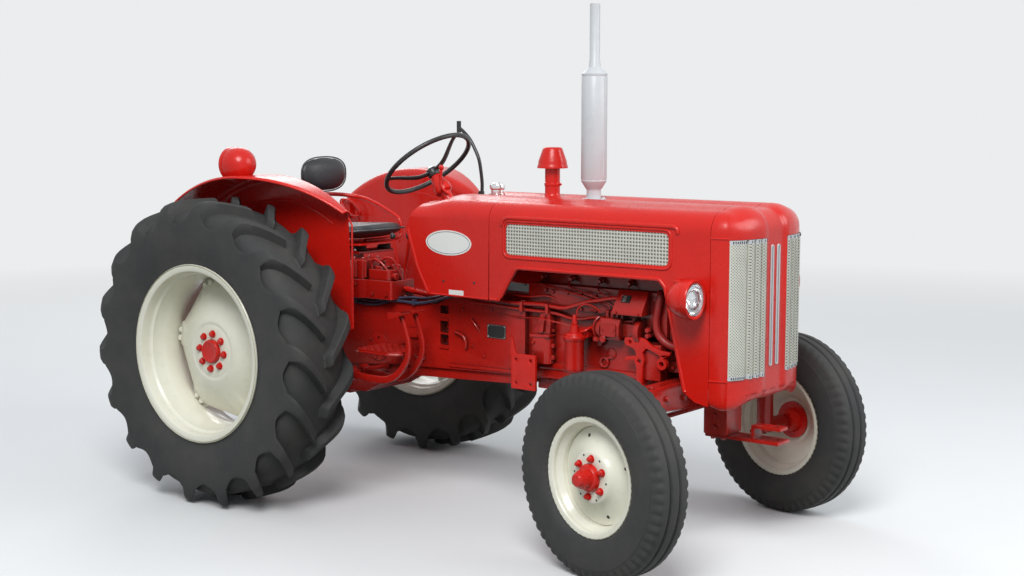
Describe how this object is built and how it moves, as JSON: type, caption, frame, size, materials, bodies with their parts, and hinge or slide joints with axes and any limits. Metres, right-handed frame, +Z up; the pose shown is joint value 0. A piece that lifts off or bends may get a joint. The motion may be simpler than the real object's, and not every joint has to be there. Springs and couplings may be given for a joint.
{
  "type": "farm tractor",
  "caption": "Two-wheel-drive farm tractor with open engine, upright nose with slotted grilles, shell fenders, lugged rear tyres and a rear three-point linkage.",
  "frame": {"origin": "on the ground under the middle of the overall outline", "axes": "+X forward along the tractor, +Y to its left, +Z up"},
  "size_m": [3.2149, 1.755, 2.107],
  "materials": {
    "red_paint": "glossy red enamel",
    "red_casting": "red enamel on rough castings, some grime",
    "cream_paint": "cream wheel paint",
    "silver_paint": "aluminium paint",
    "silver_mesh": "perforated grille sheet, silver",
    "black_paint": "satin black",
    "tyre": "weathered rubber with dry dust",
    "steel": "bare steel",
    "black_plastic": "moulded black",
    "seat_cover": "black vinyl",
    "lens": "ribbed lens"
  },
  "bodies": {
    "chassis": {"grille_left": "silver_mesh", "grille_right": "silver_mesh", "bonnet": "red_paint", "rear_cowl": "red_paint", "nose_cowl": "red_paint", "fender_left": "red_paint", "fender_right": "red_paint", "steering_column": "red_paint", "front_axle_beam": "red_casting", "front_bolster": "red_casting", "front_tow_plates": "red_casting", "gearbox_housing": "red_casting", "rear_axle_housings": "red_casting", "engine_block": "red_casting", "fuel_filter": "red_casting", "radiator": "black_paint", "side_vents": "silver_mesh", "exhaust": "silver_paint", "air_precleaner": "red_paint", "fuel_cap": "steel", "headlamps": "red_paint", "headlamp_glasses": "lens", "work_lamp": "red_paint", "seat_cushion": "seat_cover", "seat_backrest": "seat_cover", "seat_frame": "red_paint", "foot_plates": "red_casting", "pedals": "red_casting", "gear_lever": "black_plastic", "drawbar": "red_casting", "pto_shaft": "steel", "top_link_bracket": "red_casting", "hydraulic_control": "red_casting", "side_plates": "red_casting", "injection_pump": "red_casting", "manifold": "red_casting", "coolant_hose": "black_plastic", "mirror_arm": "black_paint"},
    "steering_wheel": {"steering_wheel": "black_plastic"},
    "tie_rod": {"tie_rod": "red_casting"},
    "lift_arms": {"lift_arms": "red_casting"},
    "knuckle_left": {"knuckle_left": "red_casting"},
    "lower_link_left": {"lower_link_left": "red_casting"},
    "lift_rod_left": {"lift_rod_left": "red_casting"},
    "wheel_rear_left": {"tyre_rear_left": "tyre", "rim_rear_left": "cream_paint", "hub_rear_left": "red_paint"},
    "wheel_front_left": {"tyre_front_left": "tyre", "rim_front_left": "cream_paint", "hub_front_left": "red_paint"},
    "knuckle_right": {"knuckle_right": "red_casting"},
    "lower_link_right": {"lower_link_right": "red_casting"},
    "lift_rod_right": {"lift_rod_right": "red_casting"},
    "wheel_rear_right": {"tyre_rear_right": "tyre", "rim_rear_right": "cream_paint", "hub_rear_right": "red_paint"},
    "wheel_front_right": {"tyre_front_right": "tyre", "rim_front_right": "cream_paint", "hub_front_right": "red_paint"}
  },
  "joints": [
    {"name": "steering_wheel_turn", "type": "hinge", "parent": "chassis", "child": "steering_wheel", "pos_m": [-0.208, 0, 1.448], "axis": [-0.6252, 0, 0.7804], "range_deg": [-384, 696]},
    {"name": "steer_left", "type": "hinge", "parent": "chassis", "child": "knuckle_left", "pos_m": [1.195, 0.515, 0.5], "axis": [0, 0, 1], "range_deg": [-32, 58]},
    {"name": "roll_front_left", "type": "hinge", "parent": "knuckle_left", "child": "wheel_front_left", "pos_m": [1.22537, 0.64654, 0.378], "axis": [0.225, 0.9744, 0], "continuous": true},
    {"name": "roll_rear_left", "type": "hinge", "parent": "chassis", "child": "wheel_rear_left", "pos_m": [-0.78, 0.705, 0.655], "axis": [0, 1, 0], "continuous": true},
    {"name": "steer_right", "type": "hinge", "parent": "chassis", "child": "knuckle_right", "pos_m": [1.195, -0.515, 0.5], "axis": [0, 0, 1], "range_deg": [-32, 58]},
    {"name": "roll_front_right", "type": "hinge", "parent": "knuckle_right", "child": "wheel_front_right", "pos_m": [1.16463, -0.64654, 0.378], "axis": [0.225, 0.9744, 0], "continuous": true},
    {"name": "roll_rear_right", "type": "hinge", "parent": "chassis", "child": "wheel_rear_right", "pos_m": [-0.78, -0.705, 0.655], "axis": [0, 1, 0], "continuous": true},
    {"name": "tie_rod_swing", "type": "hinge", "parent": "knuckle_left", "child": "tie_rod", "pos_m": [1.03423, 0.55212, 0.478], "axis": [0, 0, 1], "range_deg": [-58, 32]},
    {"name": "lift_raise", "type": "hinge", "parent": "chassis", "child": "lift_arms", "pos_m": [-0.93, 0, 0.912], "axis": [0, 1, 0], "range_deg": [-20, 32]},
    {"name": "lower_link_left_swing", "type": "hinge", "parent": "chassis", "child": "lower_link_left", "pos_m": [-0.8, 0.215, 0.45], "axis": [0, 1, 0], "range_deg": [-12.4, 19.8]},
    {"name": "lift_rod_left_swing", "type": "hinge", "parent": "lift_arms", "child": "lift_rod_left", "pos_m": [-1.18, 0.285, 0.87], "axis": [0, 1, 0], "range_deg": [-32.2, 20.2]},
    {"name": "lower_link_right_swing", "type": "hinge", "parent": "chassis", "child": "lower_link_right", "pos_m": [-0.8, -0.215, 0.45], "axis": [0, 1, 0], "range_deg": [-12.4, 19.8]},
    {"name": "lift_rod_right_swing", "type": "hinge", "parent": "lift_arms", "child": "lift_rod_right", "pos_m": [-1.18, -0.285, 0.87], "axis": [0, 1, 0], "range_deg": [-32.2, 20.2]}
  ],
  "couplings": [
    {"joint": "steer_left", "follows": "steering_wheel_turn", "ratio": 0.0833},
    {"joint": "steer_right", "follows": "steering_wheel_turn", "ratio": 0.0833},
    {"joint": "tie_rod_swing", "follows": "steering_wheel_turn", "ratio": -0.0833},
    {"joint": "lower_link_left_swing", "follows": "lift_raise", "ratio": 0.61},
    {"joint": "lift_rod_left_swing", "follows": "lift_raise", "ratio": -1},
    {"joint": "lower_link_right_swing", "follows": "lift_raise", "ratio": 0.61},
    {"joint": "lift_rod_right_swing", "follows": "lift_raise", "ratio": -1}
  ]
}
